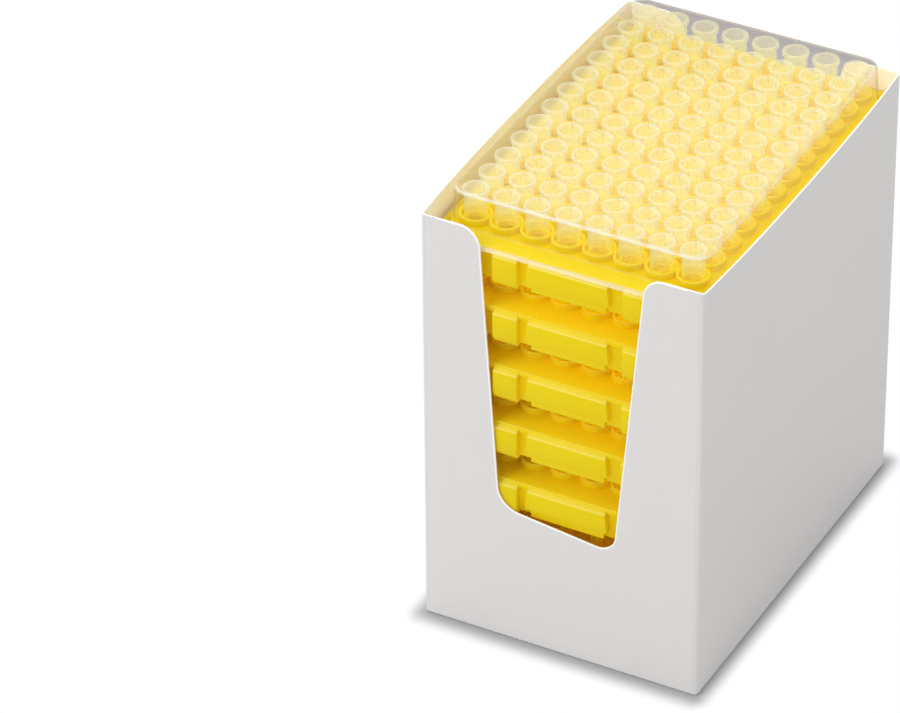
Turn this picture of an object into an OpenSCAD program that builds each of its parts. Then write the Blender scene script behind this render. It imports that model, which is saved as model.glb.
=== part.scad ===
// Refill pack of pipette tips: five moulded racks of tips stacked in an open-topped folded carton,
// standing on a board riser, with a clear cover over the top rack.
// The origin is at the middle of the carton's underside, the front of the pack faces -Y.

/* [Tip grid] */
// Distance between neighbouring tips
tip_pitch = 9; // [8.9:0.05:9.2]
// Tips across the rack
tip_cols = 8; // [4:1:8]
// Tips along the rack
tip_rows = 12; // [6:1:12]

/* [Tip] */
// Length of one tip from rim to end
tip_len = 50.5; // [48:0.5:52]
// Outer diameter of the rim
rim_d = 7.4; // [6.9:0.05:7.5]
// Height of the rim band
rim_h = 1.1; // [0.6:0.1:2]
// Outer diameter of the collar below the rim
collar_d = 6.3; // [6.2:0.05:6.5]
// Height from the shoulder that hangs on the deck up to the top of the rim
collar_h = 9.5; // [9:0.1:10]
// Wall of the collar
collar_wall = 0.5; // [0.4:0.05:0.6]
// Outer diameter at the narrow end
tip_end_d = 0.9; // [0.8:0.05:1.2]
// Bore at the narrow end
tip_bore_d = 0.45; // [0.3:0.05:0.6]

/* [Rack] */
// Distance between one deck and the next in the stack
stack_pitch = 18; // [17.5:0.1:19]
// Thickness of the deck and of the short front parts
deck_t = 1.5; // [1.2:0.1:2]
// Outer diameter of the raised ring round each tip
ring_d = 9.2; // [9.1:0.05:9.4]
// Inner diameter of the raised ring
ring_bore_d = 7.4; // [7.2:0.05:7.8]
// Height of the rings above the deck
ring_h = 1.9; // [1:0.1:3]
// Deck between the rings and the side face of the rack
border_side = 4.05; // [4:0.05:6]
// Deck between the rings and the front face of the rack
border_front = 7.55; // [7:0.05:9]
// Deck between the rings and the back face of the rack
border_back = 2.55; // [2.5:0.05:4]
// Corner radius of the rack
rack_r = 3; // [2.5:0.1:4]
// Wall thickness of the skirt
skirt_t = 1.2; // [0.8:0.1:1.4]
// Width of the bevel round the top edge
bevel = 1.15; // [0.8:0.05:1.3]
// Drop from the deck to the top of that bevel
bevel_drop = 0.5; // [0.3:0.1:0.8]
// Depth of the outer band of the skirt, which is also the height of the lip under the tab
band_h = 7.1; // [6:0.1:8]
// Open width between the legs at the front and back
leg_gap = 54; // [51:0.5:58]

/* [Rack front] */
// Width of the gripping tab, measured along its lip
tab_w = 24.4; // [18:0.1:26]
// Middle of the tab, off the middle of the rack so that it goes in one way round
tab_mid = 1.2; // [0:0.1:2]
// Narrowing of each end of the tab towards its top
tab_flare = 0.7; // [0.2:0.1:1.2]
// Undercut below the lip of the tab
lip_in = 1; // [0.5:0.1:1.2]
// Depth of the whole tab below the deck
tab_drop = 10; // [9:0.1:11]
// Width of each of the two blocks beside the tab
block_w = 7.1; // [5:0.1:8]
// Depth of a block below the deck
block_drop = 10.2; // [9:0.1:11]
// Slot between the left block and the tab
slot_left = 2.4; // [1.5:0.1:3]
// Slot between the tab and the right block
slot_right = 3.8; // [2:0.1:4]
// Distance of the recessed front wall behind the front face
wall_in = 2.25; // [1.8:0.05:2.4]
// Depth of the recessed front wall below the deck
wall_drop = 9.8; // [9:0.1:10.5]

/* [Cover] */
// Thickness of the clear sheet
sheet_t = 0.35; // [0.25:0.05:0.5]
// Space between the rims and the inside of the cover
rim_gap = 0.35; // [0.2:0.05:0.6]
// Distance from the rings to the inside of the cover's front and back walls at the deck
cover_fit = 0.5; // [0.3:0.05:0.55]
// The same distance at the cover's side walls
cover_fit_side = 1.25; // [0.3:0.05:1.6]
// Slope of each wall of the cover, as the distance it leans in over its height
cover_draft = 0.5; // [0.2:0.05:0.5]
// Corner radius of the cover at its top
cover_r = 5.5; // [4:0.1:7]
// Radius where the top of the cover turns into its walls
crease_r = 0.9; // [0.6:0.1:1.5]

/* [Carton] */
// Thickness of the folded board
board_t = 0.45; // [0.35:0.05:0.6]
// Outer radius of the upright folds
fold_r = 1.2; // [0.8:0.1:2]
// Gap between the racks and the inside of the carton
carton_fit = 0.4; // [0.3:0.05:1]
// Height of the walls above the top deck
wall_rise = 6; // [3:0.5:8]
// Belly of each side wall, halfway along its top edge
belly = 1.4; // [0:0.1:2]
// Width of the two flaps folded in over the bottom panel
bottom_flap_w = 32; // [20:1:38]

/* [Cut-outs] */
// Width of each cut-out at the top edge, without its rounded shoulders
cut_top_w = 48; // [40:0.5:50]
// Width of each cut-out at its sill
cut_sill_w = 34; // [28:0.5:38]
// Sideways shift of the sill against the top
cut_lean = 1.2; // [0:0.1:2]
// Height of the middle of the sill
cut_sill_z = 40.8; // [38:0.1:46]
// Rise of the sill from one end to the other
cut_slant = 4.3; // [0:0.1:5]
// Radius of the shoulders at the top edge
shoulder_r = 6; // [3:0.5:8]
// Radius of the left corner of the sill
sill_r_left = 7.5; // [4:0.5:9]
// Radius of the right corner of the sill
sill_r_right = 5; // [4:0.5:9]

/* [Riser] */
// Height of the riser that carries the lowest rack
riser_h = 32.1; // [30:0.1:40]
// Thickness of the corrugated board of the riser
riser_t = 3; // [2.8:0.1:3.5]
// Gap between the riser and the inside of the carton
riser_fit = 0.3; // [0.2:0.05:0.4]

/* [Hidden] */
eps = 0.05;
rack_count = 5;

// the tip hangs by its shoulder on the edge of the hole in the deck
seat_land = 0.3;
hole_fit = 0.15;
hole_r = collar_d / 2 - seat_land;
body_r = hole_r - hole_fit;
body_wall = 0.55;
knee_r = 2.2;
knee_z = 22;
rim_taper = 0.5;
mouth_in = 0.25;
mouth_r = collar_d / 2 - collar_wall + mouth_in;
mouth_h = 0.4;
shoulder_h = 1.5;

// plan of the rack
field_w = (tip_cols - 1) * tip_pitch + ring_d;
field_d = (tip_rows - 1) * tip_pitch + ring_d;
rack_w = field_w + 2 * border_side;
rack_d = field_d + border_front + border_back;
grid_y = (border_front - border_back) / 2;
front_y = -rack_d / 2;
block_chamfer = 0.9;
block_chamfer_h = 1.6;

// heights in the stack
floor_t = 2 * board_t;
riser_top = floor_t + riser_h;
top_deck = riser_top + rack_count * stack_pitch;
function deck_z(n) = top_deck - (n - 1) * stack_pitch;

// the carton is made to the racks
carton_w = rack_w + 2 * (carton_fit + board_t);
carton_d = rack_d + 2 * (carton_fit + board_t);
carton_h = top_deck + wall_rise;
fold_steps = 3;
belly_steps = 14;
belly_levels = 9;
belly_rise = 1.5;
belly_run = 2.6;
cut_steps = 8;

// plan of the cover's walls, at the deck and at the top
cover_w = field_w + 2 * (cover_fit_side + sheet_t);
cover_d = field_d + 2 * (cover_fit + sheet_t);
cover_h = collar_h + rim_gap + sheet_t;

// ---- shared shapes ----

// rectangle with round corners
module rounded(w, d, r) {
    square([w - 2 * r, d], center = true);
    square([w, d - 2 * r], center = true);
    for (x = [-1, 1], y = [-1, 1])
        translate([x * (w / 2 - r), y * (d / 2 - r)]) circle(r, $fn = 64);
}

// sweeps a profile round a rounded rectangle; the profile's x is 0 on the outline and grows outwards
module around(w, d, r) {
    for (half_turn = [0, 180]) rotate(half_turn) {
        translate([w / 2, 0]) rotate([90, 0, 0])
            linear_extrude(d - 2 * r, center = true) children();
        translate([0, d / 2]) rotate([90, 0, 90])
            linear_extrude(w - 2 * r, center = true) children();
        for (corner = [0, 1])
            translate([(corner == 0 ? 1 : -1) * (w / 2 - r), d / 2 - r]) rotate(90 * corner)
                rotate_extrude(angle = 90, $fn = 64) translate([r, 0]) children();
    }
}

// puts a copy on every place of the tip grid
module on_grid() {
    for (col = [0:tip_cols - 1], row = [0:tip_rows - 1])
        translate([(col - (tip_cols - 1) / 2) * tip_pitch,
                   grid_y + (row - (tip_rows - 1) / 2) * tip_pitch]) children();
}

// ---- tips ----

// half section of one tip, with the shoulder at height 0
module tip_section() {
    end_z = collar_h - tip_len;
    polygon([
        // outside, from the end up to the rim
        [tip_end_d / 2, end_z],
        [knee_r, collar_h - knee_z],
        [body_r, 0],
        [collar_d / 2, 0],
        [collar_d / 2, collar_h - rim_h - rim_taper],
        [rim_d / 2, collar_h - rim_h],
        [rim_d / 2, collar_h],
        // mouth and bore, back down to the end
        [mouth_r, collar_h],
        [collar_d / 2 - collar_wall, collar_h - mouth_h],
        [collar_d / 2 - collar_wall, 0],
        [body_r - body_wall, -shoulder_h],
        [knee_r - body_wall, collar_h - knee_z],
        [tip_bore_d / 2, end_z]
    ]);
}

module tips(n) color([0.93, 0.92, 0.87])
    translate([0, 0, deck_z(n)])
        on_grid() rotate_extrude($fn = 48) tip_section();

// ---- racks ----

module rack(n) color([0.95, 0.80, 0.12])
    translate([0, 0, deck_z(n)]) {
        deck();
        ring_field();
        skirt();
        front_wall();
    }

// flat plate with one hole for each tip
module deck() translate([0, 0, -deck_t]) linear_extrude(deck_t) difference() {
    rounded(rack_w - 2 * bevel, rack_d - 2 * bevel, rack_r - bevel);
    on_grid() circle(hole_r, $fn = 48);
}

// raised rings that run into each other
module ring_field() linear_extrude(ring_h) difference() {
    on_grid() circle(ring_d / 2, $fn = 64);
    on_grid() circle(ring_bore_d / 2, $fn = 48);
}

// bevelled band with a thinner leg below it that stands on the deck of the next rack
module skirt() difference() {
    around(rack_w, rack_d, rack_r) polygon([
        [-bevel, 0],
        [-bevel, -bevel_drop],
        [0, -bevel_drop - bevel],
        [0, -band_h],
        [-bevel, -band_h],
        [-bevel, -stack_pitch],
        [-bevel - skirt_t, -stack_pitch],
        [-bevel - skirt_t, 0]
    ]);
    // the front is open between the legs, apart from its own wall
    translate([-leg_gap / 2, front_y - eps, -stack_pitch - eps])
        cube([leg_gap, bevel + skirt_t + 2 * eps, stack_pitch - deck_t + eps]);
    translate([-leg_gap / 2, front_y - eps, -deck_t - 2 * eps])
        cube([leg_gap, bevel + eps, deck_t + 3 * eps]);
    // the back is open below the same height as the front wall
    translate([-leg_gap / 2, -front_y - bevel - skirt_t - eps, -stack_pitch - eps])
        cube([leg_gap, bevel + skirt_t + 2 * eps, stack_pitch - wall_drop + eps]);
}

// recessed wall with the gripping tab and a block on each side of it
module front_wall() {
    tab_left = tab_mid - tab_w / 2;
    tab_right = tab_mid + tab_w / 2;
    difference() {
        union() {
            translate([-leg_gap / 2 - skirt_t, front_y + wall_in, -wall_drop])
                cube([leg_gap + 2 * skirt_t, skirt_t, wall_drop - bevel_drop]);
            tab();
            block(tab_left - slot_left - block_w);
            block(tab_right + slot_right);
        }
        core(tab_left + tab_flare + skirt_t, tab_right - tab_flare - skirt_t, lip_in);
        core(tab_left - slot_left - block_w + skirt_t, tab_left - slot_left - skirt_t, block_chamfer);
        core(tab_right + slot_right + skirt_t, tab_right + slot_right + block_w - skirt_t, block_chamfer);
    }
}

// hollow behind a front piece, so that its wall stays thin
module core(x0, x1, inset)
    translate([x0, front_y + inset + skirt_t, -block_drop - eps])
        cube([x1 - x0, wall_in + skirt_t, block_drop - deck_t + eps]);

// profile along the rack's front: y is 0 on the front face and grows into the rack
module front_piece(x0, x1) translate([x0, front_y, 0])
    rotate([90, 0, 90]) linear_extrude(x1 - x0) children();

module tab() intersection() {
    front_piece(tab_mid - tab_w / 2, tab_mid + tab_w / 2) polygon([
        [bevel, -bevel_drop],
        [0, -bevel_drop - bevel],
        [0, -band_h],
        [lip_in, -band_h],
        [lip_in, -tab_drop],
        [wall_in + skirt_t, -tab_drop],
        [wall_in + skirt_t, -bevel_drop]
    ]);
    // seen from the front the ends flare out to the lip and turn in again below it
    top = tab_w / 2 - tab_flare;
    foot = tab_w / 2 - 2 * tab_flare;
    translate([tab_mid, front_y + wall_in + 2 * skirt_t, 0]) rotate([90, 0, 0])
        linear_extrude(wall_in + 3 * skirt_t) polygon([
            [-top, 0], [-top, -bevel_drop - bevel],
            [-tab_w / 2, -band_h], [-foot, -band_h - 2 * tab_flare], [-foot, -tab_drop - eps],
            [foot, -tab_drop - eps], [foot, -band_h - 2 * tab_flare], [tab_w / 2, -band_h],
            [top, -bevel_drop - bevel], [top, 0]
        ]);
}

module block(x0) front_piece(x0, x0 + block_w) polygon([
    [bevel, -bevel_drop],
    [0, -bevel_drop - bevel],
    [0, -block_drop + block_chamfer_h],
    [block_chamfer, -block_drop],
    [wall_in + skirt_t, -block_drop],
    [wall_in + skirt_t, -bevel_drop]
]);

// ---- cover ----

// half section of the cover's wall: x is 0 on the outside at the deck, the top turns in by an arc
module cover_wall_section() {
    arc = [for (a = [0:15:90]) [cos(a), sin(a)]];
    polygon(concat(
        [[0, 0]],
        [for (p = arc) [-cover_draft - crease_r + crease_r * p[0],
                        cover_h - crease_r + crease_r * p[1]]],
        [[-cover_r + eps, cover_h], [-cover_r + eps, cover_h - sheet_t]],
        [for (i = [len(arc) - 1:-1:0])
            [-cover_draft - crease_r + (crease_r - sheet_t) * arc[i][0],
             cover_h - crease_r + (crease_r - sheet_t) * arc[i][1]]],
        [[-sheet_t, sheet_t], [-sheet_t, 0]]
    ));
}

module cover() color([0.86, 0.92, 0.96, 0.35]) translate([0, 0, top_deck]) {
    // raised hat over the rims
    translate([0, grid_y, 0]) {
        around(cover_w, cover_d, cover_r) cover_wall_section();
        translate([0, 0, cover_h - sheet_t]) linear_extrude(sheet_t)
            square([cover_w - 2 * cover_r + 2 * eps, cover_d - 2 * eps - 2 * crease_r], center = true);
        translate([0, 0, cover_h - sheet_t]) linear_extrude(sheet_t)
            square([cover_w - 2 * eps - 2 * crease_r, cover_d - 2 * cover_r + 2 * eps], center = true);
    }
    // flange that lies on the deck
    linear_extrude(sheet_t) difference() {
        rounded(rack_w - 2 * bevel, rack_d - 2 * bevel, rack_r - bevel);
        translate([0, grid_y]) rounded(cover_w - sheet_t, cover_d - sheet_t, cover_r);
    }
    // lip turned down over the bevel of the rack
    around(rack_w, rack_d, rack_r) polygon([
        [-bevel, 0],
        [-bevel, sheet_t],
        [0, sheet_t - bevel],
        [0, -bevel]
    ]);
}

// ---- carton ----

// one corner of an outline as an arc through n steps
function arc_through(centre, r, from, to, n) =
    [for (i = [0:n]) let (a = from + (to - from) * i / n) centre + r * [cos(a), sin(a)]];

// outline of the walls at one height: straight at the bottom, bellied sides at the top
function wall_outline(inset, z) =
    let (w = carton_w / 2 - inset, d = carton_d / 2 - inset, r = fold_r - inset,
         rise = pow(max(0, z - board_t) / (carton_h - board_t), belly_rise),
         run = d - r)
    concat(
        arc_through([w - r, -run], r, -90, 0, fold_steps),
        [for (i = [1:belly_steps - 1]) let (s = 2 * i / belly_steps - 1)
            [w + belly * rise * (1 - pow(abs(s), belly_run)), run * s]],
        arc_through([w - r, run], r, 0, 90, fold_steps),
        arc_through([r - w, run], r, 90, 180, fold_steps),
        [for (i = [1:belly_steps - 1]) let (s = 1 - 2 * i / belly_steps)
            [-w - belly * rise * (1 - pow(abs(s), belly_run)), run * s]],
        arc_through([r - w, -run], r, 180, 270, fold_steps)
    );

// four walls as one skin of even thickness
module walls() {
    levels = belly_levels;
    zs = [for (k = [0:levels]) board_t + (carton_h - board_t) * k / levels];
    n = len(wall_outline(0, 0));
    skin = (levels + 1) * n;
    points = concat(
        [for (z = zs) each [for (p = wall_outline(0, z)) [p[0], p[1], z]]],
        [for (z = zs) each [for (p = wall_outline(board_t, z)) [p[0], p[1], z]]]
    );
    faces = concat(
        [for (k = [0:levels - 1], i = [0:n - 1]) let (j = (i + 1) % n, a = k * n)
            each [[a + i, a + n + i, a + n + j], [a + i, a + n + j, a + j]]],
        [for (k = [0:levels - 1], i = [0:n - 1]) let (j = (i + 1) % n, a = skin + k * n)
            each [[a + i, a + n + j, a + n + i], [a + i, a + j, a + n + j]]],
        [for (i = [0:n - 1]) let (j = (i + 1) % n) each [[i, j, skin + j], [i, skin + j, skin + i]]],
        [for (i = [0:n - 1]) let (j = (i + 1) % n, a = levels * n)
            each [[a + i, skin + a + j, a + j], [a + i, skin + a + i, skin + a + j]]]
    );
    polyhedron(points, faces, convexity = 6);
}

// round-cornered outline through sharp corners, each [x, y, radius]
function bend_between(a, b) = let (t = atan2(b[1], b[0]) - atan2(a[1], a[0]))
    t > 180 ? t - 360 : t < -180 ? t + 360 : t;
function unit(v) = v / norm(v);
function round_corners(corners, n) = [
    for (i = [0:len(corners) - 1]) let (
        here = corners[i],
        before = corners[(i + len(corners) - 1) % len(corners)],
        after = corners[(i + 1) % len(corners)],
        u = unit([here[0] - before[0], here[1] - before[1]]),
        v = unit([after[0] - here[0], after[1] - here[1]]),
        bend = bend_between(u, v),
        back = here[2] * tan(abs(bend) / 2),
        side = bend > 0 ? 1 : -1,
        centre = [here[0], here[1]] - back * u + side * here[2] * [-u[1], u[0]],
        start = atan2(-side * u[0], side * u[1])
    ) each here[2] == 0 ? [[here[0], here[1]]] : arc_through(centre, here[2], start, start + bend, n)
];

// cut-out of the front wall in its own plane, with flared shoulders at the top edge
module cut_outline() {
    half = cut_sill_w / 2;
    mid = -cut_lean;
    above = carton_h + shoulder_r;
    polygon(round_corners([
        [-cut_top_w / 2 - 2 * shoulder_r, above, 0],
        [-cut_top_w / 2 - 2 * shoulder_r, carton_h, 0],
        [-cut_top_w / 2, carton_h, shoulder_r],
        [mid - half, cut_sill_z + cut_slant / 2, sill_r_left],
        [mid + half, cut_sill_z - cut_slant / 2, sill_r_right],
        [cut_top_w / 2, carton_h, shoulder_r],
        [cut_top_w / 2 + 2 * shoulder_r, carton_h, 0],
        [cut_top_w / 2 + 2 * shoulder_r, above, 0]
    ], cut_steps));
}

module carton() color([0.95, 0.95, 0.94]) {
    difference() {
        walls();
        for (half_turn = [0, 180]) rotate(half_turn)
            translate([0, -carton_d / 2 + 3 * board_t, 0]) rotate([90, 0, 0])
                linear_extrude(5 * board_t) cut_outline();
    }
    // closing panel, and the flaps of the side walls folded in over it
    linear_extrude(board_t) polygon(wall_outline(0, 0));
    for (side = [-1, 1])
        translate([side * (carton_w - bottom_flap_w - board_t) / 2, 0, board_t + board_t / 2])
            cube([bottom_flap_w, carton_d - 4 * fold_r, board_t], center = true);
}

// ---- riser ----

// strip of corrugated board folded round the inside of the carton
module riser() color([0.72, 0.53, 0.34]) translate([0, 0, floor_t]) linear_extrude(riser_h) {
    w = carton_w - 2 * (board_t + riser_fit);
    d = carton_d - 2 * (board_t + riser_fit);
    difference() {
        rounded(w, d, fold_r);
        square([w - 2 * riser_t, d - 2 * riser_t], center = true);
    }
}

carton();
riser();
rack(1);  // rack_1
rack(2);  // rack_2
rack(3);  // rack_3
rack(4);  // rack_4
rack(5);  // rack_5
tips(1);  // tips_1
tips(2);  // tips_2
tips(3);  // tips_3
tips(4);  // tips_4
tips(5);  // tips_5
cover();
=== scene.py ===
"""Refill pack of pipette tips: five racks of tips in an open folded carton, under a clear cover."""

import math

import bmesh
import bpy
from mathutils import Matrix, Vector


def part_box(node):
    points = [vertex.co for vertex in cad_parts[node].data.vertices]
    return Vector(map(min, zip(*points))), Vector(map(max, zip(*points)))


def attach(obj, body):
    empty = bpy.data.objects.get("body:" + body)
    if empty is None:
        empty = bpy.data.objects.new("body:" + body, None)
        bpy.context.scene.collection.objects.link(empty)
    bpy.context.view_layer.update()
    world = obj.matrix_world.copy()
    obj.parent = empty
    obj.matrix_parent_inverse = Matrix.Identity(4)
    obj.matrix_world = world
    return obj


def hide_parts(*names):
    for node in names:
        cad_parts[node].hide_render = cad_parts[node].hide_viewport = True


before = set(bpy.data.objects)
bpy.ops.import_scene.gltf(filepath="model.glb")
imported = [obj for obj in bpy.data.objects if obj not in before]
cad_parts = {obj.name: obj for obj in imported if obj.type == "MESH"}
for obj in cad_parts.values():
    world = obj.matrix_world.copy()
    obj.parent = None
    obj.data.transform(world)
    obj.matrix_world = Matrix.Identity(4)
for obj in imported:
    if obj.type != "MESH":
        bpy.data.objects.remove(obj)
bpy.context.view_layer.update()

# ---- sizes, in metres ----

MM = 0.001
LAYERS = (1, 2, 3, 4, 5)

# the tip grid
PITCH = 9 * MM
COLUMNS, ROWS = 8, 12

# what the solids give
rack_low, rack_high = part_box("rack_1")
tips_low, tips_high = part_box("tips_1")
cover_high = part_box("cover")[1]
carton_low, carton_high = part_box("carton")
riser_low, riser_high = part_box("riser")

# rack
RING_H, RING_SUNK = 1.9 * MM, 0.3 * MM
RING_R, RING_BORE_R = 4.6 * MM, 3.7 * MM
RING_ROUND, RING_BORE_ROUND = 0.3 * MM, 0.25 * MM
HOLE_R = 2.85 * MM
DECK_T, DECK_ROUND = 1.5 * MM, 0.2 * MM
BEVEL, BEVEL_DROP = 1.15 * MM, 0.5 * MM
RACK_R = 3 * MM
SKIRT_T = 1.2 * MM
BAND_H = 7.1 * MM
STACK = 18 * MM
LEG_GAP = 54 * MM
RACK_W, RACK_D = rack_high.x - rack_low.x, rack_high.y - rack_low.y
FRONT = rack_low.y
GRID_Y = (tips_low.y + tips_high.y) / 2
DECK = {n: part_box(f"rack_{n}")[1].z - RING_H for n in LAYERS}

# front of the rack
TAB_W, TAB_MID = 24.4 * MM, 1.2 * MM
TAB_FLARE, LIP_IN, TAB_DROP = 0.7 * MM, 1 * MM, 10 * MM
BLOCK_W, BLOCK_DROP = 7.1 * MM, 10.2 * MM
SLOT_LEFT, SLOT_RIGHT = 2.4 * MM, 3.8 * MM
WALL_IN, WALL_DROP = 2.25 * MM, 9.8 * MM
CHAMFER, CHAMFER_H = 0.9 * MM, 1.6 * MM
FRONT_ROUND = 0.18 * MM

# tip, measured from the shoulder that hangs on the deck
TIP_LEN = 50.5 * MM
RIM_R, RIM_H, RIM_TAPER = 3.7 * MM, 1.1 * MM, 0.5 * MM
RIM_ROUNDS = [0.2 * MM, 0.3 * MM, 0.2 * MM]
MOUTH_FLARE, MOUTH_DEPTH = 0.25 * MM, 0.4 * MM
COLLAR_R, COLLAR_H, COLLAR_WALL = 3.15 * MM, 9.5 * MM, 0.5 * MM
KNEE_R, KNEE_DEPTH = 2.2 * MM, 22 * MM
BODY_R, BODY_WALL = 2.7 * MM, 0.55 * MM
END_R, END_BORE_R = 0.45 * MM, 0.225 * MM

# cover
SHEET_T = 0.35 * MM
COVER_TOP = cover_high.z - DECK[1]
COVER_W, COVER_D = 75.4 * MM, 109.9 * MM
COVER_R, CREASE_R, DRAFT = 5.5 * MM, 0.9 * MM, 0.5 * MM
HAT_FOOT_R = 0.5 * MM

# carton
BOARD_T, CUT_SOFT = 0.45 * MM, 0.07 * MM
RIM_W, PRESSED = 0.4 * MM, 0.03 * MM
FOLD_R, FOOT_R = 1.2 * MM, 0.6 * MM
CARTON_W, CARTON_D = 82 * MM, carton_high.y - carton_low.y
CARTON_H = carton_high.z
BELLY, BELLY_RISE, BELLY_FLATNESS = carton_high.x - CARTON_W / 2, 1.5, 2.6
FLOOR_T = riser_low.z
CUT_TOP_W, CUT_SILL_W, CUT_LEAN = 48 * MM, 34 * MM, 1.2 * MM
SILL_Z, SILL_SLANT = 40.8 * MM, 4.3 * MM
SHOULDER_R, SILL_R_LEFT, SILL_R_RIGHT = 6 * MM, 7.5 * MM, 5 * MM
FOLD_STEPS, SIDE_STEPS, WALL_STEPS, FRONT_STEP = 5, 24, 12, 9 * MM

# riser
RISER_W, RISER_D = riser_high.x - riser_low.x, riser_high.y - riser_low.y
RISER_T, LINER_T, FLUTE = 3 * MM, 0.35 * MM, 7.5 * MM
LINER_R, FLUTED_R = 3.4 * MM, 2 * MM


# ---- outlines ----


def heading(degrees):
    """Cosine and sine of an angle."""
    angle = math.radians(degrees)
    return math.cos(angle), math.sin(angle)


def arc(centre, radius, start, end, steps):
    """Points of an arc from one angle to another, in degrees."""
    turns = [heading(start + (end - start) * i / steps) for i in range(steps + 1)]
    return [(centre[0] + radius * c, centre[1] + radius * s) for c, s in turns]


def rounded_corners(corners, radii, steps=2, closed=True):
    """An outline with an arc in each corner. One radius for all, or one for each."""
    made = []
    for i, here in enumerate(corners):
        radius = radii[i] if isinstance(radii, (list, tuple)) else radii
        if radius == 0 or (not closed and i in (0, len(corners) - 1)):
            made.append(tuple(here))
            continue
        here = Vector(here)
        u = here - Vector(corners[i - 1])
        v = Vector(corners[(i + 1) % len(corners)]) - here
        room = 0.49 * min(u.length, v.length)
        u.normalize()
        v.normalize()
        bend = math.atan2(u.x * v.y - u.y * v.x, u.dot(v))
        back = min(radius * math.tan(abs(bend) / 2), room)
        radius = back / math.tan(abs(bend) / 2)
        side = math.copysign(1, bend)
        centre = here - u * back + Vector((-u.y, u.x)) * side * radius
        start = math.atan2(-side * u.x, side * u.y)
        for k in range(steps + 1):
            t = start + bend * k / steps
            made.append((centre.x + radius * math.cos(t), centre.y + radius * math.sin(t)))
    return made


def rectangle(width, depth, radius, centre=(0, 0), steps=6):
    """Rounded rectangle, anticlockwise from its front right corner."""
    w, d = width / 2 - radius, depth / 2 - radius
    corners = ((w, -d, -90), (w, d, 0), (-w, d, 90), (-w, -d, 180))
    return [p for x, y, start in corners
            for p in arc((centre[0] + x, centre[1] + y), radius, start, start + 90, steps)]


def divided(line, longest):
    """The same line with no stretch longer than given."""
    made = [line[0]]
    for a, b in zip(line, line[1:]):
        parts = max(1, math.ceil(math.dist(a, b) / longest))
        made += [tuple(p + (q - p) * k / parts for p, q in zip(a, b)) for k in range(1, parts + 1)]
    return made


def at_height(outline, z):
    return [(x, y, z) for x, y in outline]


def round_about(steps):
    """Evenly spread headings of a full turn."""
    turns = [math.tau * i / steps for i in range(steps)]
    return [(math.cos(t), math.sin(t)) for t in turns]


def turned(section, steps):
    """Rows of a section of (radius, height) turned round the upright axis."""
    return [[(r * c, r * s, z) for r, z in section] for c, s in round_about(steps)]


# ---- skins and pieces ----


class Moulding:
    """Gathers closed skins into one mesh, with a map that runs along and round each skin."""

    def __init__(self):
        self.points, self.faces, self.finishes, self.places = [], [], [], []

    def skin(self, rows, loop=False, finish=None, cap_finishes=(0, 0)):
        """Closed skin through rows of points. Each row is a closed outline.

        The two ends are capped, or meet in a loop. A function may give the finish of each span.
        """
        first, count = len(self.points), len(rows[0])
        self.points += [tuple(p) for row in rows for p in row]
        spans = len(rows) if loop else len(rows) - 1
        for r in range(spans):
            a, b = first + r * count, first + (r + 1) % len(rows) * count
            for c in range(count):
                d = (c + 1) % count
                self.faces.append((a + c, a + d, b + d, b + c))
                self.finishes.append(finish(r) if finish else 0)
                along, on = r / spans, (r + 1) / spans
                left, right = c / count, (c + 1) / count
                self.places.append(((along, left), (along, right), (on, right), (on, left)))
        if not loop:
            last = first + (len(rows) - 1) * count
            self.faces.append(tuple(first + c for c in reversed(range(count))))
            self.faces.append(tuple(last + c for c in range(count)))
            self.finishes += list(cap_finishes)
            self.places += [((0, 0),) * count, ((1, 1),) * count]

    def mesh(self, name, sharp=35, round_edges=0.0):
        """The mesh, facing outwards. Edges sharper than the angle stay sharp, or are rounded."""
        mesh = bpy.data.meshes.new(name)
        mesh.from_pydata(self.points, [], self.faces)
        mesh.polygons.foreach_set("material_index", self.finishes)
        places = mesh.uv_layers.new(name="UVMap")
        places.data.foreach_set("uv", [n for face in self.places for place in face for n in place])
        work = bmesh.new()
        work.from_mesh(mesh)
        bmesh.ops.remove_doubles(work, verts=work.verts, dist=1e-7)
        bmesh.ops.dissolve_degenerate(work, edges=work.edges, dist=1e-7)
        bmesh.ops.recalc_face_normals(work, faces=work.faces)
        if round_edges:
            edges = [e for e in work.edges
                     if e.is_manifold and e.calc_face_angle() > math.radians(30)]
            bmesh.ops.bevel(work, geom=edges, offset=round_edges, segments=2, profile=0.5,
                            affect="EDGES", clamp_overlap=True)
        work.to_mesh(mesh)
        work.free()
        mesh.shade_smooth()
        mesh.set_sharp_from_angle(angle=math.radians(sharp))
        return mesh


def joined(name, *meshes):
    """One mesh from several."""
    work = bmesh.new()
    for mesh in meshes:
        work.from_mesh(mesh)
    whole = bpy.data.meshes.new(name)
    work.to_mesh(whole)
    work.free()
    return whole


def piece(name, mesh, slot, *finishes, stands_for=None):
    """A finished piece of the pack that stands for a solid."""
    mesh.name = name
    # clearing the list first would lose which finish each face has
    for i, material in enumerate(finishes):
        if i < len(mesh.materials):
            mesh.materials[i] = material
        else:
            mesh.materials.append(material)
    made = bpy.data.objects.new(name, mesh)
    bpy.context.scene.collection.objects.link(made)
    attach(made, "root")
    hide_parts(stands_for)
    return made


# ---- nodes ----


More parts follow.
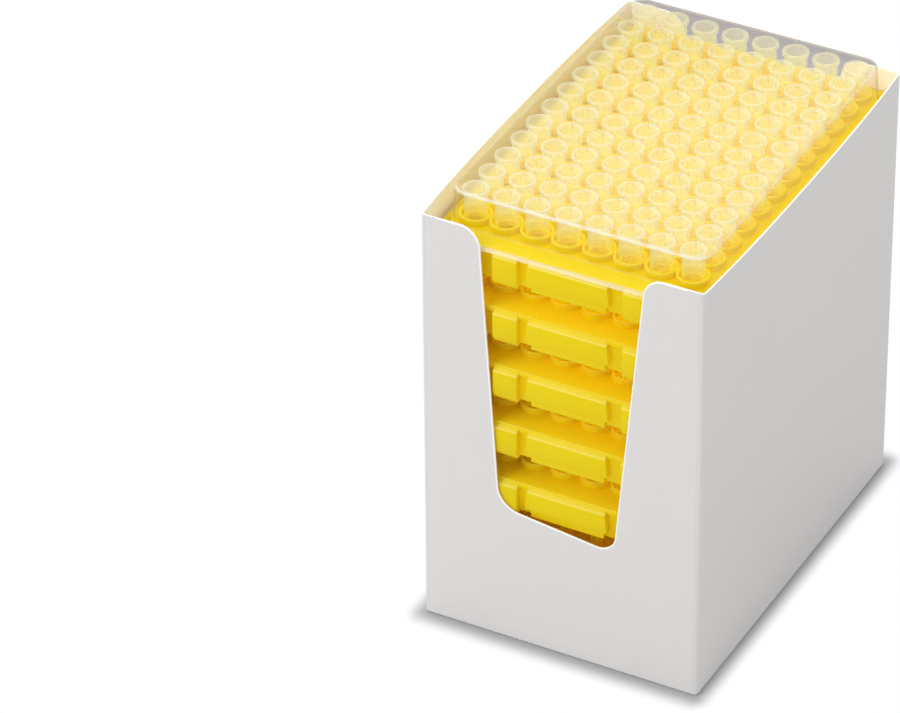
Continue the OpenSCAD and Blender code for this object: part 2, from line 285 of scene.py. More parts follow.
class Wire:
    """A node socket in an expression: the operators add Math nodes."""

    def __init__(self, socket):
        self.socket = socket
        self.tree = socket.id_data

    @staticmethod
    def node(tree, kind, settings=None, sockets=None, out=0):
        """Adds a node: its settings, then its sockets' values or links. Gives one output."""
        made = tree.nodes.new(kind)
        for name, value in (settings or {}).items():
            setattr(made, name, value)
        for name, value in (sockets or {}).items():
            if isinstance(value, Wire):
                tree.links.new(value.socket, made.inputs[name])
            else:
                made.inputs[name].default_value = value
        return Wire(made.outputs[out]) if made.outputs else None

    def maths(self, operation, a, b=0.0):
        return Wire.node(self.tree, "ShaderNodeMath", {"operation": operation}, {0: a, 1: b})

    def __add__(self, other):
        return self.maths("ADD", self, other)

    def __sub__(self, other):
        return self.maths("SUBTRACT", self, other)

    def __rsub__(self, other):
        return self.maths("SUBTRACT", other, self)

    def __mul__(self, other):
        return self.maths("MULTIPLY", self, other)

    def __pow__(self, other):
        return self.maths("POWER", self, other)

    def __gt__(self, other):
        return self.maths("GREATER_THAN", self, other)

    def __lt__(self, other):
        return self.maths("LESS_THAN", self, other)

    def __abs__(self):
        return self.maths("ABSOLUTE", self)

    __radd__, __rmul__ = __add__, __mul__


# ---- what stands on the tip grid ----


def tip_grid_tree():
    """Puts a piece on every place of the grid, each leaning a little its own way."""
    tree = bpy.data.node_groups.new("on the tip grid", "GeometryNodeTree")
    ports = (("Piece", "Geometry"), ("Columns", "Int"), ("Rows", "Int"), ("Pitch", "Float"),
             ("Middle", "Vector"), ("Lean", "Float"), ("Turn", "Float"), ("Seed", "Int"),
             ("Finish", "Material"))
    for name, kind in ports:
        tree.interface.new_socket(name, in_out="INPUT", socket_type="NodeSocket" + kind)
    tree.interface.new_socket("Set", in_out="OUTPUT", socket_type="NodeSocketGeometry")
    entry = tree.nodes.new("NodeGroupInput")
    given = {name: Wire(entry.outputs[name]) for name, _ in ports}

    def node(kind, sockets, settings=None):
        return Wire.node(tree, kind, settings, sockets)

    grid = node("GeometryNodeMeshGrid", {
        "Size X": (given["Columns"] - 1) * given["Pitch"], "Vertices X": given["Columns"],
        "Size Y": (given["Rows"] - 1) * given["Pitch"], "Vertices Y": given["Rows"]})
    places = node("GeometryNodeTransform", {"Geometry": grid, "Translation": given["Middle"]})
    most = node("ShaderNodeCombineXYZ",
                {"X": given["Lean"], "Y": given["Lean"], "Z": given["Turn"]})
    least = node("ShaderNodeVectorMath", {0: most, "Scale": -1.0}, {"operation": "SCALE"})
    lean = node("FunctionNodeRandomValue", {0: least, 1: most, "Seed": given["Seed"]},
                {"data_type": "FLOAT_VECTOR"})
    turn = node("FunctionNodeEulerToRotation", {0: lean})
    placed = node("GeometryNodeInstanceOnPoints",
                  {"Points": places, "Instance": given["Piece"], "Rotation": turn})
    real = node("GeometryNodeRealizeInstances", {"Geometry": placed})
    done = node("GeometryNodeSetMaterial", {"Geometry": real, "Material": given["Finish"]})
    node("NodeGroupOutput", {0: done})
    return tree


TIP_GRID = tip_grid_tree()


def on_tip_grid(name, mesh, finish, z, lean=0.0, turn=0.0, seed=1):
    """A plain mesh with the given one on every place of the grid, at height z."""
    holder = bpy.data.objects.new(name, mesh)
    bpy.context.scene.collection.objects.link(holder)
    steps = holder.modifiers.new("on the tip grid", "NODES")
    steps.node_group = TIP_GRID
    values = {"Columns": COLUMNS, "Rows": ROWS, "Pitch": PITCH, "Middle": (0, GRID_Y, z),
              "Lean": math.radians(lean), "Turn": math.radians(turn), "Seed": seed,
              "Finish": finish}
    for socket in TIP_GRID.interface.items_tree:
        if socket.name in values:
            steps[socket.identifier] = values[socket.name]
    bpy.context.view_layer.update()
    evaluated = holder.evaluated_get(bpy.context.evaluated_depsgraph_get())
    whole = bpy.data.meshes.new_from_object(evaluated)
    bpy.data.objects.remove(holder)
    return whole


# ---- finishes ----


def finish(name, build):
    """A material from a function that takes its tree and gives the surface."""
    material = bpy.data.materials.new(name)
    material.use_nodes = True
    tree = material.node_tree
    tree.nodes.clear()
    Wire.node(tree, "ShaderNodeOutputMaterial", None, {"Surface": build(tree)})
    return material


def coordinate(tree, system, axis):
    """One number of the place or direction that a system of coordinates gives."""
    given = Wire.node(tree, "ShaderNodeTexCoord", out=system)
    return Wire.node(tree, "ShaderNodeSeparateXYZ", None, {0: given}, out=axis)


def mottle(tree, scale, detail=2.0, stretch=(1, 1, 1)):
    """Soft random pattern, 0 to 1, with features of about 1 / scale metres."""
    given = Wire.node(tree, "ShaderNodeTexCoord", out="Object")
    place = Wire.node(tree, "ShaderNodeMapping", None, {"Vector": given, "Scale": stretch})
    return Wire.node(tree, "ShaderNodeTexNoise", None,
                     {"Vector": place, "Scale": scale, "Detail": detail})


def blended(tree, mask, a, b):
    """A colour between two, as (red, green, blue)."""
    return Wire.node(tree, "ShaderNodeMix", {"data_type": "RGBA"},
                     {0: mask, 6: (*a, 1) if isinstance(a, tuple) else a, 7: (*b, 1)}, out=2)


def bumped(tree, height, distance, strength=1.0):
    return Wire.node(tree, "ShaderNodeBump", None,
                     {"Height": height, "Distance": distance, "Strength": strength})


def bsdf(tree, kind, sockets):
    return Wire.node(tree, "ShaderNodeBsdf" + kind, None, sockets)


def mixed(tree, factor, a, b):
    return Wire.node(tree, "ShaderNodeMixShader", None, {0: factor, 1: a, 2: b})


def within(value, middle, reach):
    """1 where a value is within its reach of the middle, else 0."""
    return Wire.node(value.tree, "ShaderNodeMath", {"operation": "COMPARE"},
                     {0: value, 1: middle, 2: reach})


def glancing(tree, least, normal, power=5.0):
    """A share that grows to 1 at a glancing view, the same from both sides of a surface."""
    turned_away = Wire.node(tree, "ShaderNodeLayerWeight", None, {"Blend": 0.5, "Normal": normal},
                            out="Facing")
    return least + (1 - least) * turned_away ** power


def while_lighting(tree, surface, film):
    """Lets the light through to what lies behind, with the film's colour alone."""
    path = Wire.node(tree, "ShaderNodeLightPath", out="Is Shadow Ray")
    return mixed(tree, path, surface, bsdf(tree, "Transparent", {"Color": (*film, 1)}))


def moulded_plastic(tree):
    """Yellow with faint flow marks, paler on its bevels and rounded edges as a painted highlight,
    and more orange with light behind.
    """
    flow = mottle(tree, 45, 3)
    upwards = coordinate(tree, "Normal", "Z")
    # painted highlight on the sloping bevels, and more faintly on the rounding above them
    painted_edge_highlight = within(upwards, 0.45, 0.22) + 0.25 * within(upwards, 0.75, 0.06)
    colour = blended(tree, flow, (0.855, 0.695, 0.007), (0.880, 0.725, 0.013))
    colour = blended(tree, 0.4 * painted_edge_highlight, colour, (1.0, 0.92, 0.30))
    normal = bumped(tree, mottle(tree, 2400, 2), 0.02 * MM)
    face = bsdf(tree, "Principled", {
        "Base Color": colour, "Roughness": 0.28 + 0.10 * flow, "Specular IOR Level": 0.09,
        "Normal": normal})
    through = bsdf(tree, "Translucent", {"Color": (1.0, 0.62, 0.005, 1), "Normal": normal})
    return while_lighting(tree, mixed(tree, 0.1, face, through), (0.96, 0.92, 0.12))


def natural_plastic(tree):
    """Milky see-through plastic, glossy above the top deck. Its milky scatter is painted yellow
    bounce light down at the deck, and its cream above is partly that too.
    """
    def scatter(colour):
        milk_and_painted_light = {"Color": (*colour, 1)}
        return mixed(tree, 0.5, bsdf(tree, "Diffuse", milk_and_painted_light), bsdf(tree, "Translucent", milk_and_painted_light))

    ribs = 24
    along = coordinate(tree, "UV", "X")
    normal = bumped(tree, along.maths("SINE", along * (ribs * math.tau)), 0.02 * MM)
    height = coordinate(tree, "Object", "Z")
    up = Wire.node(tree, "ShaderNodeMapRange", None, {
        "Value": height, "From Min": DECK[1], "From Max": DECK[1] + 0.7 * COLLAR_H})
    rim = height > DECK[1] + COLLAR_H - 0.5 * MM
    # the scatter is painted yellow bounce light down at the deck, fading up the collar to a cream
    # that is partly painted too
    milk_and_painted_light = mixed(tree, up, scatter((0.98, 0.97, 0.05)), scatter((0.98, 0.985, 0.73)))
    clear = bsdf(tree, "Transparent", {"Color": (0.995, 0.998, 0.975, 1)})
    share = glancing(tree, 0.10 + 0.13 * up + 0.2 * rim, normal, 4.0)
    gloss = bsdf(tree, "Glossy", {"Roughness": 0.1, "Normal": normal})
    shine = glancing(tree, 0.03, normal) * (0.1 + 0.9 * up)
    surface = mixed(tree, shine, mixed(tree, share, clear, milk_and_painted_light), gloss)
    return while_lighting(tree, surface, (0.998, 0.996, 0.99))


def clear_sheet(tree):
    """Thin clear sheet: milky white along its formed creases, partly its own haze and partly a
    painted highlight; a painted dark line at the back crease; and without gloss where it lies on
    the deck.
    """
    milk_and_painted_light = bsdf(tree, "Diffuse", {"Color": (0.97, 0.97, 0.96, 1)})
    ripple = bumped(tree, mottle(tree, 60, 1), 0.05 * MM)
    gloss = bsdf(tree, "Glossy", {"Roughness": 0.08, "Normal": ripple})
    height = coordinate(tree, "Object", "Z")
    back = coordinate(tree, "Normal", "Y")
    slope = abs(coordinate(tree, "Normal", "Z"))
    # the front crease gets more of the painted highlight, and the one at the back a painted dark
    # line
    front_crease_highlight = (back < -0.25) * (height > DECK[1] + 5 * MM)
    back_crease_shade = (back > 0.15) * within(slope, 0.5, 0.22)
    clear = mixed(tree, back_crease_shade, bsdf(tree, "Transparent", {"Color": (0.99, 0.985, 0.99, 1)}),
                  bsdf(tree, "Transparent", {"Color": (0.72, 0.72, 0.74, 1)}))
    flat = within(height, DECK[1] + SHEET_T / 2, SHEET_T / 2 + 0.05 * MM)
    bent = within(slope, 0.55, 0.4) * (1 - within(height, DECK[1] + 1.6 * MM, 1.5 * MM))
    sheet = mixed(tree, glancing(tree, 0.02, ripple) * (1 - 0.95 * flat), clear, gloss)
    # the white at the bends is partly the formed sheet's haze and partly a painted highlight
    surface = mixed(tree, bent * (0.165 + 0.12 * front_crease_highlight), sheet, milk_and_painted_light)
    return while_lighting(tree, surface, (0.985, 0.98, 0.985))


def board(colour, deeper, roughness, coat):
    """Smooth folding board: a faint paper grain, and a fine painted shade line beside the folds for
    the crease pressed in there.
    """
    def build(tree):
        fibre = mottle(tree, 1500, 3, (1, 1, 0.4))
        fold_line_shade = within(abs(coordinate(tree, "Object", "X")),
                      CARTON_W / 2 - FOLD_R - 0.1 * MM, 0.12 * MM)
        tone = blended(tree, mottle(tree, 30, 4), deeper, colour)
        return bsdf(tree, "Principled", {
            # painted shade: a fine darker line beside the folds
            "Base Color": blended(tree, 0.12 * fold_line_shade, tone, (0.2, 0.19, 0.18)),
            "Roughness": roughness + 0.06 * fibre, "Coat Weight": coat, "Coat Roughness": 0.35,
            "Normal": bumped(tree, fibre, 0.01 * MM)})
    return build


def kraft(tree):
    """Rough brown board with its fibres lying level, its brown lighter than real kraft as painted
    light for the dim space under the racks.
    """
    fibre = mottle(tree, 900, 4, (1, 1, 0.25))
    return bsdf(tree, "Principled", {
        "Base Color": blended(tree, fibre, (0.76, 0.42, 0.24), (0.88, 0.54, 0.34)),
        "Roughness": 0.85, "Normal": bumped(tree, fibre, 0.03 * MM)})


YELLOW = finish("moulded yellow plastic", moulded_plastic)
NATURAL = finish("natural tip plastic", natural_plastic)
CLEAR = finish("clear sheet", clear_sheet)
WHITE = finish("coated white board",
               board((0.77, 0.755, 0.745), (0.75, 0.735, 0.725), 0.42, 0.2))
# raw white of the cut edge, made brighter than the coat as a painted highlight along the cut
CUT_EDGE_AND_HIGHLIGHT = finish("cut edge of the board, with painted highlight",
                  board((1.0, 1.0, 0.99), (0.99, 0.99, 0.98), 0.8, 0.0))
# uncoated inside, brightened to nearly full white as painted light for the dim inner walls
INSIDE = finish("uncoated inside of the board, brightened as painted light",
                board((1.0, 0.985, 0.92), (0.99, 0.975, 0.91), 0.8, 0.0))
KRAFT = finish("brown corrugated board", kraft)


# ---- racks ----

# bevelled band with a thinner leg below it, as (outwards, height) from the rack's face and deck
BAND = [(-BEVEL - SKIRT_T, -0.1 * MM), (-BEVEL, -0.1 * MM), (-BEVEL, -BEVEL_DROP),
        (0, -BEVEL_DROP - BEVEL), (0, -BAND_H), (-BEVEL, -BAND_H)]
BAND_ROUNDS = [0, 0, 0, 0.2 * MM, 0.25 * MM, 0.15 * MM, 0.2 * MM, 0.2 * MM]


def skirt_section(drop):
    """Section of the skirt, its leg ending at a drop below the deck."""
    leg = [(-BEVEL, -drop), (-BEVEL - SKIRT_T, -drop)]
    return rounded_corners(BAND + leg, BAND_ROUNDS)


def side_path(steps=6):
    """Half of the rack's outline with its normals, round the right side between the leg gaps."""
    x, y = RACK_W / 2 - RACK_R, RACK_D / 2 - RACK_R
    path = [(LEG_GAP / 2, -RACK_D / 2, 0, -1)]
    for cy, start in ((-y, -90), (y, 0)):
        for nx, ny in arc((0, 0), 1, start, start + 90, steps):
            path.append((x + RACK_R * nx, cy + RACK_R * ny, nx, ny))
    return path + [(LEG_GAP / 2, RACK_D / 2, 0, 1)]


def swept(section, path, z):
    """Rows of a section of (outwards, height) along a path with its normals."""
    return [[(x + out * nx, y + out * ny, z + up) for out, up in section]
            for x, y, nx, ny in path]


def front_block(x_left, x_right, levels, back, z):
    """Rows of a front piece: each level is (height, front, narrowing), from the top down."""
    return [[(x_left + inset, FRONT + front, z + up), (x_right - inset, FRONT + front, z + up),
             (x_right - inset, FRONT + back, z + up), (x_left + inset, FRONT + back, z + up)]
            for up, front, inset in levels]


def rack_body(z):
    """Deck border and skirt of one rack."""
    def deck_edge(inset, up):
        inset += BEVEL
        return at_height(rectangle(RACK_W - 2 * inset, RACK_D - 2 * inset, RACK_R - inset), z + up)

    body = Moulding()
    field = rectangle(COLUMNS * PITCH, ROWS * PITCH, 0, (0, GRID_Y))
    body.skin([at_height(field, z), deck_edge(DECK_ROUND, 0),
               deck_edge(0.3 * DECK_ROUND, -0.3 * DECK_ROUND), deck_edge(0, -DECK_ROUND),
               deck_edge(0, -DECK_T), at_height(field, z - DECK_T)], loop=True)
    right = side_path()
    left = [(-x, -y, -nx, -ny) for x, y, nx, ny in right]
    for side in (right, left):
        body.skin(swept(skirt_section(STACK), side, z))
    body.skin(swept(skirt_section(WALL_DROP), [right[-1], left[0]], z))
    return body.mesh("rack body")


def rack_front(z):
    """Recessed wall, gripping tab and the two blocks, with their edges rounded."""
    tab_left, tab_right = TAB_MID - TAB_W / 2, TAB_MID + TAB_W / 2
    wall_x = LEG_GAP / 2 + SKIRT_T
    wall = [(-BEVEL_DROP, WALL_IN, 0), (-WALL_DROP, WALL_IN, 0)]
    tab = [(-BEVEL_DROP, BEVEL, TAB_FLARE), (-BEVEL_DROP - BEVEL, 0, TAB_FLARE), (-BAND_H, 0, 0),
           (-BAND_H, LIP_IN, 0), (-BAND_H - 2 * TAB_FLARE, LIP_IN, 2 * TAB_FLARE),
           (-TAB_DROP, LIP_IN, 2 * TAB_FLARE)]
    block = [(-BEVEL_DROP, BEVEL, 0), (-BEVEL_DROP - BEVEL, 0, 0),
             (-BLOCK_DROP + CHAMFER_H, 0, 0), (-BLOCK_DROP, CHAMFER, 0)]
    front = Moulding()
    for x_left, x_right, levels in (
            (-wall_x, wall_x, wall), (tab_left, tab_right, tab),
            (tab_left - SLOT_LEFT - BLOCK_W, tab_left - SLOT_LEFT, block),
            (tab_right + SLOT_RIGHT, tab_right + SLOT_RIGHT + BLOCK_W, block)):
        front.skin(front_block(x_left, x_right, levels, WALL_IN + SKIRT_T, z))
    return front.mesh("rack front", round_edges=FRONT_ROUND)


def rack_cell(steps):
    """One cell of the deck with its hole, and the raised ring round it."""
    cell = Moulding()
    turns = round_about(steps)
    square = [(PITCH / 2 * c / max(abs(c), abs(s)), PITCH / 2 * s / max(abs(c), abs(s)))
              for c, s in turns]
    hole = [(HOLE_R * c, HOLE_R * s) for c, s in turns]
    cell.skin([at_height(square, 0), at_height(hole, 0),
               at_height(hole, -DECK_T), at_height(square, -DECK_T)], loop=True)
    ring = rounded_corners([(RING_BORE_R, -RING_SUNK), (RING_R, -RING_SUNK),
                            (RING_R, RING_H), (RING_BORE_R, RING_H)],
                           [0, 0, RING_ROUND, RING_BORE_ROUND])
    cell.skin(turned(ring, steps), loop=True)
    return cell.mesh("rack cell")


for n in LAYERS:
    cells = on_tip_grid(f"cells {n}", rack_cell(32 if n == 1 else 24), YELLOW, DECK[n])
    whole = joined("rack", cells, rack_body(DECK[n]), rack_front(DECK[n]))
    piece(f"moulded_rack_{n}", whole, "yellow_plastic", YELLOW, stands_for=f"rack_{n}")


# ---- tips ----


def tip(steps, corner_steps):
    """One hollow tip, its shoulder at height 0. Without corner steps its rim stays angular."""
    end, knee, bore = COLLAR_H - TIP_LEN, COLLAR_H - KNEE_DEPTH, COLLAR_R - COLLAR_WALL
    outside = [(END_R, end), (KNEE_R, knee), (BODY_R, 0), (COLLAR_R, 0),
               (COLLAR_R, COLLAR_H - RIM_H - RIM_TAPER)]
    rim = [(RIM_R, COLLAR_H - RIM_H), (RIM_R, COLLAR_H), (bore + MOUTH_FLARE, COLLAR_H)]
    inside = [(bore, COLLAR_H - MOUTH_DEPTH), (bore, 0), (BODY_R - BODY_WALL, -DECK_T),
              (KNEE_R - BODY_WALL, knee), (END_BORE_R, end)]
    radii = [0] * len(outside) + RIM_ROUNDS + [0] * len(inside)
    section = rounded_corners(outside + rim + inside, radii if corner_steps else 0, corner_steps)
    made = Moulding()
    made.skin(turned(section, steps), loop=True)
    return made.mesh("tip")


for n in LAYERS:
    single = tip(28, 2) if n == 1 else tip(12, 0)
    whole = on_tip_grid(f"tips {n}", single, NATURAL, DECK[n], lean=0.5, turn=180, seed=n)
    piece(f"pipette_tips_{n}", whole, "natural_plastic", NATURAL, stands_for=f"tips_{n}")


# ---- cover ----


def cover_mesh():
    """Thin sheet: a lip over the rack's bevel, a flange on the deck and a hat over the rims."""
    def plate(out, up):
        outline = rectangle(RACK_W + 2 * out, RACK_D + 2 * out, RACK_R + out, steps=8)
        return at_height(outline, DECK[1] + up)

    def hat(out, up):
        outline = rectangle(COVER_W + 2 * out, COVER_D + 2 * out, COVER_R + out, (0, GRID_Y), 8)
        return at_height(outline, DECK[1] + up)

    # each place: which outline, outwards, height, and the way its outside faces in degrees
    sheet = [(plate, 0, SHEET_T - BEVEL, 45),
             (plate, -BEVEL + 0.12 * MM, SHEET_T - 0.12 * MM, 45),
             (plate, -BEVEL - 0.02 * MM, SHEET_T - 0.03 * MM, 68),
             (plate, -BEVEL - 0.15 * MM, SHEET_T, 90)]
    for degrees in range(0, 91, 30):
        c, s = heading(degrees)
        sheet.append((hat, HAT_FOOT_R * (1 - s), SHEET_T + HAT_FOOT_R * (1 - c), 90 - degrees))
    for degrees in range(0, 91, 15):
        c, s = heading(degrees)
        sheet.append((hat, -DRAFT - CREASE_R + CREASE_R * c, COVER_TOP - CREASE_R + CREASE_R * s,
                      degrees))
    middle = -COVER_R + 0.3 * MM
    sheet.append((hat, middle, COVER_TOP, 90))
    outside = [outline(out, up) for outline, out, up, _ in sheet]
    inside = []
    for outline, out, up, degrees in sheet[:-1]:
        c, s = heading(degrees)
        inside.append(outline(out - SHEET_T * c, up - SHEET_T * s))
    inside.append(hat(middle, COVER_TOP - SHEET_T))
    cover = Moulding()
    cover.skin(inside[::-1] + outside)
    return cover.mesh("cover", sharp=50)


piece("clear_cover", cover_mesh(), "clear_sheet", CLEAR, stands_for="cover")


# ---- carton ----


def cut_out():
    """Edge of the cut-out in the front wall from left to right, as (across, height)."""
    half_top, half_sill = CUT_TOP_W / 2, CUT_SILL_W / 2
    corners = [(-half_top - 2 * SHOULDER_R, CARTON_H), (-half_top, CARTON_H),
               (-CUT_LEAN - half_sill, SILL_Z + SILL_SLANT / 2),
               (-CUT_LEAN + half_sill, SILL_Z - SILL_SLANT / 2),
               (half_top, CARTON_H), (half_top + 2 * SHOULDER_R, CARTON_H)]
    radii = [0, SHOULDER_R, SILL_R_LEFT, SILL_R_RIGHT, SHOULDER_R, 0]
    return rounded_corners(corners, radii, 12, closed=False)


def carton_columns():
    """Columns round the carton, anticlockwise.

    Each has a function from (inset, height) to its place, the height of its top, and the way
    from the edge into the board there.
    """
    w, d = CARTON_W / 2, CARTON_D / 2
    columns = []

    def corner(x, y, start):
        for nx, ny in arc((0, 0), 1, start, start + 90, FOLD_STEPS):
            def place(inset, z, nx=nx, ny=ny):
                return x + (FOLD_R - inset) * nx, y + (FOLD_R - inset) * ny
            columns.append((place, CARTON_H, (0, -1)))

    def side(sign):
        for i in range(1, SIDE_STEPS):
            def place(inset, z, s=(2 * i / SIDE_STEPS - 1) * sign):
                rise = max(0.0, z / CARTON_H) ** BELLY_RISE
                belly = BELLY * rise * (1 - abs(s) ** BELLY_FLATNESS)
                return sign * (w - inset + belly), (d - FOLD_R) * s
            columns.append((place, CARTON_H, (0, -1)))

    def front(sign):
        line = [(-w + FOLD_R, CARTON_H)] + cut_out() + [(w - FOLD_R, CARTON_H)]
        line = divided(line, FRONT_STEP)
        for (ax, az), (x, z), (bx, bz) in zip(line, line[1:], line[2:]):
            along = Vector((bx - ax, bz - az)).normalized()

            def place(inset, _, x=x):
                return -sign * x, sign * (d - PRESSED - inset)
            columns.append((place, z, (-sign * along.y, -along.x)))

    corner(w - FOLD_R, -d + FOLD_R, -90)
    side(1)
    corner(w - FOLD_R, d - FOLD_R, 0)
    front(1)
    corner(-w + FOLD_R, d - FOLD_R, 90)
    side(-1)
    corner(-w + FOLD_R, -d + FOLD_R, 180)
    front(-1)
    return columns


def carton_mesh():
    """Folded carton in three finishes: coated outside, cut edge and uncoated inside."""
    outside, cut, inside = 0, 1, 2
    columns = carton_columns()

    def level(share, inset, start):
        """A row at a share of the way from a height to the top, the last one easing its corner."""
        row = []
        for place, top, (across, up) in columns:
            z = start + (top + CUT_SOFT * up - start) * share
            x, y = place(inset, z)
            row.append((x + CUT_SOFT * across * (share == 1), y, z))
        return row

    shares = [i / WALL_STEPS for i in range(WALL_STEPS + 1)]
    foot = arc((FOOT_R, FOOT_R), FOOT_R, 270, 180, 4)[:-1]
    rows = [[(*place(inset, z), z) for place, _, _ in columns] for inset, z in foot]
    rows += [level(share, 0, FOOT_R) for share in shares]
    edge = len(rows)
    rows += [[(*place(inset, top), top) for place, top, _ in columns]
             for inset in (CUT_SOFT, BOARD_T - CUT_SOFT)]
    rows += [level(share, BOARD_T, FLOOR_T) for share in reversed(shares)]

    def finish_of(span):
        if edge - 1 <= span < edge + 2:
            return cut
        return outside if span < edge else inside

    carton = Moulding()
    carton.skin(rows, finish=finish_of, cap_finishes=(outside, inside))
    # a narrow white rim in the cut-edge finish round the front and the back, a painted highlight
    # along the cut
    for sign in (-1, 1):
        face = sign * CARTON_D / 2
        rim = []
        for place, top, (across, up) in columns:
            x, y = place(0, top)
            if math.isclose(y, face - sign * PRESSED, abs_tol=1e-6):
                rim.append([(x + reach * across, rim_y, top + reach * up) for reach, rim_y in (
                    (CUT_SOFT, face), (RIM_W, face), (RIM_W, y), (CUT_SOFT, y))])
        carton.skin(rim, finish=lambda span: cut, cap_finishes=(cut, cut))
    return carton.mesh("carton", sharp=40)


piece("folded_carton", carton_mesh(), "white_board", WHITE, CUT_EDGE_AND_HIGHLIGHT, INSIDE, stands_for="carton")


# ---- riser ----


def riser_mesh():
    """Ring of corrugated board: two liners with the waved sheet between them."""
    def sheet(out, inner):
        """Places of a sheet's section between two depths, as (depth, height)."""
        low, high = riser_low.z, riser_high.z
        return (out, low), (out, high), (inner, high), (inner, low)

    riser = Moulding()
    for out in (0, RISER_T - LINER_T):
        riser.skin([at_height(rectangle(RISER_W - 2 * inset, RISER_D - 2 * inset,
                                        LINER_R - inset, steps=5), z)
                    for inset, z in sheet(out, out + LINER_T)], loop=True)
    middle = RISER_T / 2
    ring = rectangle(RISER_W - 2 * middle, RISER_D - 2 * middle, FLUTED_R, steps=3)
    path = divided(ring + ring[:1], FLUTE / 8)[:-1]
    swing = middle - LINER_T * 1.5
    gone, rows = 0.0, [[], [], [], []]
    for i, (x, y) in enumerate(path):
        ahead, behind = path[(i + 1) % len(path)], path[i - 1]
        out = Vector((ahead[1] - behind[1], behind[0] - ahead[0])).normalized()
        wave = swing * math.sin(math.tau * gone / FLUTE)
        gone += math.dist((x, y), ahead)
        for row, (shift, z) in zip(rows, sheet(LINER_T / 2, -LINER_T / 2)):
            row.append((x + out.x * (wave + shift), y + out.y * (wave + shift), z))
    riser.skin(rows, loop=True)
    return riser.mesh("riser")


piece("corrugated_riser", riser_mesh(), "kraft_board", KRAFT, stands_for="riser")


# ---- floor, light and camera ----

# the shadow round the carton's foot, narrower past its sides: a grey floor with its real shading
# that fades to white by distance, partly a painted shadow
SHADOW_W, SHADOW_SIDE_IN, SHADOW_SIDE_PACE = 7.6 * MM, 2.4 * MM, 1.25
FLOOR_DROP = 0.05 * MM
SKY, SKY_SEEN = 0.91, 0.09
BOUNCES, SEE_THROUGHS = 40, 160

# the camera's place in millimetres, and its angles in degrees
CAMERA_AT = (573.688, -1185.101, 971.305)
AZIMUTH, ELEVATION, ROLL = 28.3184, 34.6919, -0.4998
SENSOR, FOCAL = 36, 236.782


def seen_directly(tree):
    """1 for camera, glossy and transmission rays."""
    path = tree.nodes.new("ShaderNodeLightPath")
    camera, glossy, through = (Wire(path.outputs[f"Is {kind} Ray"])
                               for kind in ("Camera", "Glossy", "Transmission"))
    return camera.maths("MAXIMUM", camera.maths("MAXIMUM", camera, glossy), through)


def studio_floor(tree):
    """Pale floor. Seen directly it is white, but for the shadow close round the carton, painted as
    a grey that fades to white by distance, with the real shading on it.
    """
    def vector(operation, sockets, out=0):
        return Wire.node(tree, "ShaderNodeVectorMath", {"operation": operation}, sockets, out)

    path = tree.nodes.new("ShaderNodeLightPath")
    camera, through = Wire(path.outputs["Is Camera Ray"]), Wire(path.outputs["Transparent Depth"])
    directly = camera * (through < 0.5)
    place = vector("ABSOLUTE", {0: Wire.node(tree, "ShaderNodeTexCoord", out="Object")})
    out = vector("MULTIPLY_ADD", {
        0: place, 1: (SHADOW_SIDE_PACE, 1, 0),
        2: (SHADOW_SIDE_IN - SHADOW_SIDE_PACE * carton_high.x, -carton_high.y, 0)})
    away = vector("LENGTH", {0: vector("MAXIMUM", {0: out, 1: (0, 0, 0)})}, out="Value")
    clear = Wire.node(tree, "ShaderNodeMapRange", {"interpolation_type": "SMOOTHSTEP"},
                      {"Value": away, "From Min": 0.0, "From Max": SHADOW_W})
    # greys for light that bounces, for the floor seen through the pack, and for the painted shadow
    bounce = blended(tree, camera, (0.62, 0.62, 0.62), (0.365, 0.355, 0.365))
    dull = bsdf(tree, "Diffuse", {"Color": blended(tree, directly, bounce, (0.42, 0.42, 0.42))})
    white = Wire.node(tree, "ShaderNodeEmission", None, {"Strength": 1.0})
    return mixed(tree, directly * clear, dull, white)


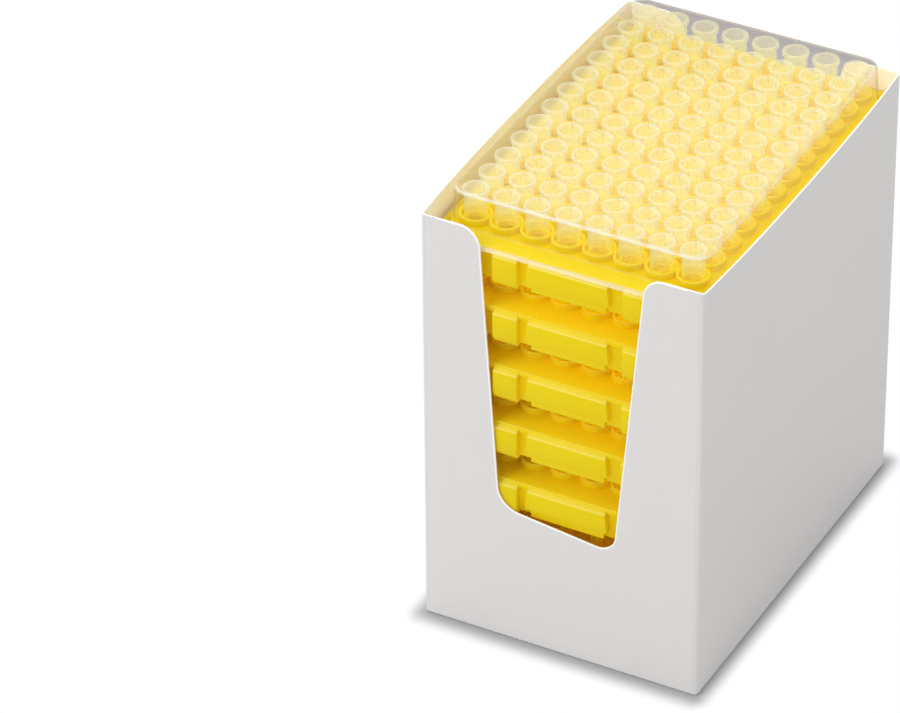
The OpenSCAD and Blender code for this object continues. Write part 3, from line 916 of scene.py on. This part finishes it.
def panel(name, direction, distance, size, level, middle=(0, 0, 0.07)):
    """Soft square lamp that lights the object from a direction, a level of 1 being full."""
    lamp = bpy.data.lights.new(name, "AREA")
    lamp.shape, lamp.size = "SQUARE", size
    lamp.energy = level * math.pi ** 2 * distance ** 2
    holder = bpy.data.objects.new(name, lamp)
    way = Vector(direction).normalized()
    holder.location = Vector(middle) + way * distance
    holder.rotation_euler = way.to_track_quat("Z", "Y").to_euler()
    holder.visible_camera = False
    bpy.context.scene.collection.objects.link(holder)


bpy.ops.mesh.primitive_plane_add(size=8, location=(0, 0, -FLOOR_DROP))
floor = bpy.context.object
floor.name = "studio_floor"
floor.data.materials.append(finish("studio floor", studio_floor))

world = bpy.data.worlds.new("studio")
bpy.context.scene.world = world
world.use_nodes = True
air = world.node_tree
air.nodes.clear()
sky = Wire.node(air, "ShaderNodeBackground", None,
                {"Strength": SKY + SKY_SEEN * seen_directly(air)})
Wire.node(air, "ShaderNodeOutputWorld", None, {"Surface": sky})

panel("key", (-0.45, -0.65, 0.60), distance=2.0, size=1.2, level=0.35)
panel("overhead", (0.15, 0.05, 1), distance=1.8, size=2.4, level=0.05)
panel("right panel", (0.9, -0.2, 0.4), distance=2.0, size=1.2, level=0.08)
panel("back panel", (-0.39, 0.40, 0.85), distance=1.6, size=1.3, level=0.31)

lens = bpy.data.cameras.new("camera")
lens.sensor_width, lens.lens = SENSOR, FOCAL
lens.clip_start, lens.clip_end = 0.05, 20
camera = bpy.data.objects.new("camera", lens)
camera.matrix_world = (Matrix.Translation(Vector(CAMERA_AT) * MM)
                       @ Matrix.Rotation(math.radians(AZIMUTH), 4, "Z")
                       @ Matrix.Rotation(math.radians(90 - ELEVATION), 4, "X")
                       @ Matrix.Rotation(math.radians(ROLL), 4, "Z"))
bpy.context.scene.collection.objects.link(camera)
bpy.context.scene.camera = camera

settings = bpy.context.scene
settings.view_settings.view_transform = "Standard"
settings.cycles.max_bounces = BOUNCES
settings.cycles.diffuse_bounces = BOUNCES
settings.cycles.glossy_bounces = BOUNCES
settings.cycles.transmission_bounces = BOUNCES
settings.cycles.transparent_max_bounces = SEE_THROUGHS
